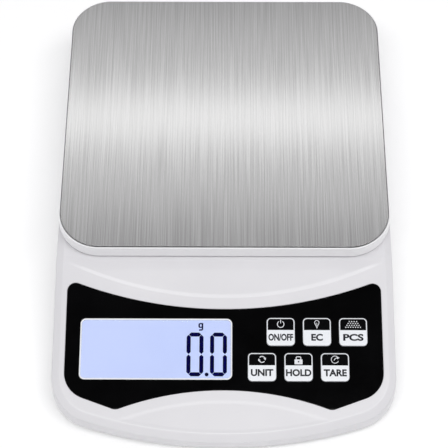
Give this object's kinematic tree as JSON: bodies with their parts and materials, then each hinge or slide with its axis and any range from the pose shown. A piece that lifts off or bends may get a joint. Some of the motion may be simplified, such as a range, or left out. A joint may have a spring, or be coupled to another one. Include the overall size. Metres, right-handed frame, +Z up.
{
  "type": "digital gram scale",
  "caption": "Bench weighing scale with a square steel platform, a sloped front panel, a lit numeric display and push keys.",
  "frame": {"origin": "centre of the overall footprint, on the table surface under the feet", "axes": "+X to the right, +Y to the back, +Z up, as seen by a person at the keys"},
  "size_m": [0.1646, 0.244, 0.038],
  "materials": {
    "housing_white": "fine satin ABS, slightly warm white",
    "base_white": "fine matt ABS",
    "panel_black": "gloss black overlay",
    "bezel_white": "white printed edge",
    "window_clear": "clear acrylic",
    "lcd": "lit liquid crystal",
    "diffuser": "milky light guide",
    "zebra": "layered elastomer",
    "board": "green solder mask",
    "chip": "moulded epoxy",
    "components": "mixed small parts",
    "zinc": "bright zinc plate",
    "switch_black": "moulded nylon",
    "plunger": "moulded acetal",
    "key_face": "printed key, light below and black above",
    "aluminium": "milled bar",
    "silicone": "white potting",
    "wire_grey": "grey sheath",
    "wire_red": "red and black leads",
    "nickel": "nickel-plated spring steel",
    "battery": "plain printed wrap",
    "rubber_foot": "grey rubber",
    "support_white": "glass-filled nylon",
    "tray_white": "satin ABS",
    "tape": "adhesive film",
    "steel": "brushed from front to back"
  },
  "bodies": {
    "housing": {"bottom_cover": "base_white", "top_cover": "housing_white", "front_panel": "panel_black", "display_bezel": "bezel_white", "display_window": "window_clear", "lcd_glass": "lcd", "lcd_backlight": "diffuser", "lcd_connector": "zebra", "main_board": "board", "main_chip": "chip", "board_parts": "components", "board_screws": "zinc", "key_switches": "switch_black", "load_cell": "aluminium", "gauge_covers": "silicone", "load_cell_base_plate": "zinc", "load_cell_base_screws": "zinc", "overload_stop": "zinc", "load_cell_cable": "wire_grey", "battery_leads": "wire_red", "battery_springs": "nickel", "battery_contacts": "nickel", "battery_left": "battery", "battery_middle": "battery", "battery_right": "battery", "housing_screws": "zinc", "foot_front_left": "rubber_foot", "foot_front_right": "rubber_foot", "foot_back_left": "rubber_foot", "foot_back_right": "rubber_foot"},
    "platform": {"platform_support": "support_white", "platform_screws": "zinc", "platform_pads": "rubber_foot", "platform_tray": "tray_white", "plate_tape": "tape", "weighing_plate": "steel"},
    "key_on_off": {"key_on_off": "key_face", "plunger_on_off": "plunger"},
    "key_ec": {"key_ec": "key_face", "plunger_ec": "plunger"},
    "key_pcs": {"key_pcs": "key_face", "plunger_pcs": "plunger"},
    "key_unit": {"key_unit": "key_face", "plunger_unit": "plunger"},
    "key_hold": {"key_hold": "key_face", "plunger_hold": "plunger"},
    "key_tare": {"key_tare": "key_face", "plunger_tare": "plunger"},
    "battery_door": {"battery_door": "base_white"}
  },
  "joints": [
    {"name": "platform_press", "type": "slide", "parent": "housing", "child": "platform", "axis": [0, 0, -1], "range_m": [0, 0.0006], "stiffness_N_per_m": 30000, "springref_m": -0.00015, "deforming": ["load_cell"]},
    {"name": "on_off_press", "type": "slide", "parent": "housing", "child": "key_on_off", "axis": [0, 0.1994, -0.9799], "range_m": [0, 0.0004], "stiffness_N_per_m": 3000, "springref_m": -0.00005},
    {"name": "ec_press", "type": "slide", "parent": "housing", "child": "key_ec", "axis": [0, 0.1994, -0.9799], "range_m": [0, 0.0004], "stiffness_N_per_m": 3000, "springref_m": -0.00005},
    {"name": "pcs_press", "type": "slide", "parent": "housing", "child": "key_pcs", "axis": [0, 0.1994, -0.9799], "range_m": [0, 0.0004], "stiffness_N_per_m": 3000, "springref_m": -0.00005},
    {"name": "unit_press", "type": "slide", "parent": "housing", "child": "key_unit", "axis": [0, 0.1994, -0.9799], "range_m": [0, 0.0004], "stiffness_N_per_m": 3000, "springref_m": -0.00005},
    {"name": "hold_press", "type": "slide", "parent": "housing", "child": "key_hold", "axis": [0, 0.1994, -0.9799], "range_m": [0, 0.0004], "stiffness_N_per_m": 3000, "springref_m": -0.00005},
    {"name": "tare_press", "type": "slide", "parent": "housing", "child": "key_tare", "axis": [0, 0.1994, -0.9799], "range_m": [0, 0.0004], "stiffness_N_per_m": 3000, "springref_m": -0.00005},
    {"name": "battery_door_hinge", "type": "hinge", "parent": "housing", "child": "battery_door", "pos_m": [0.048, 0.0173, 0.0036], "axis": [-1, 0, 0], "range_deg": [0, 80]}
  ]
}
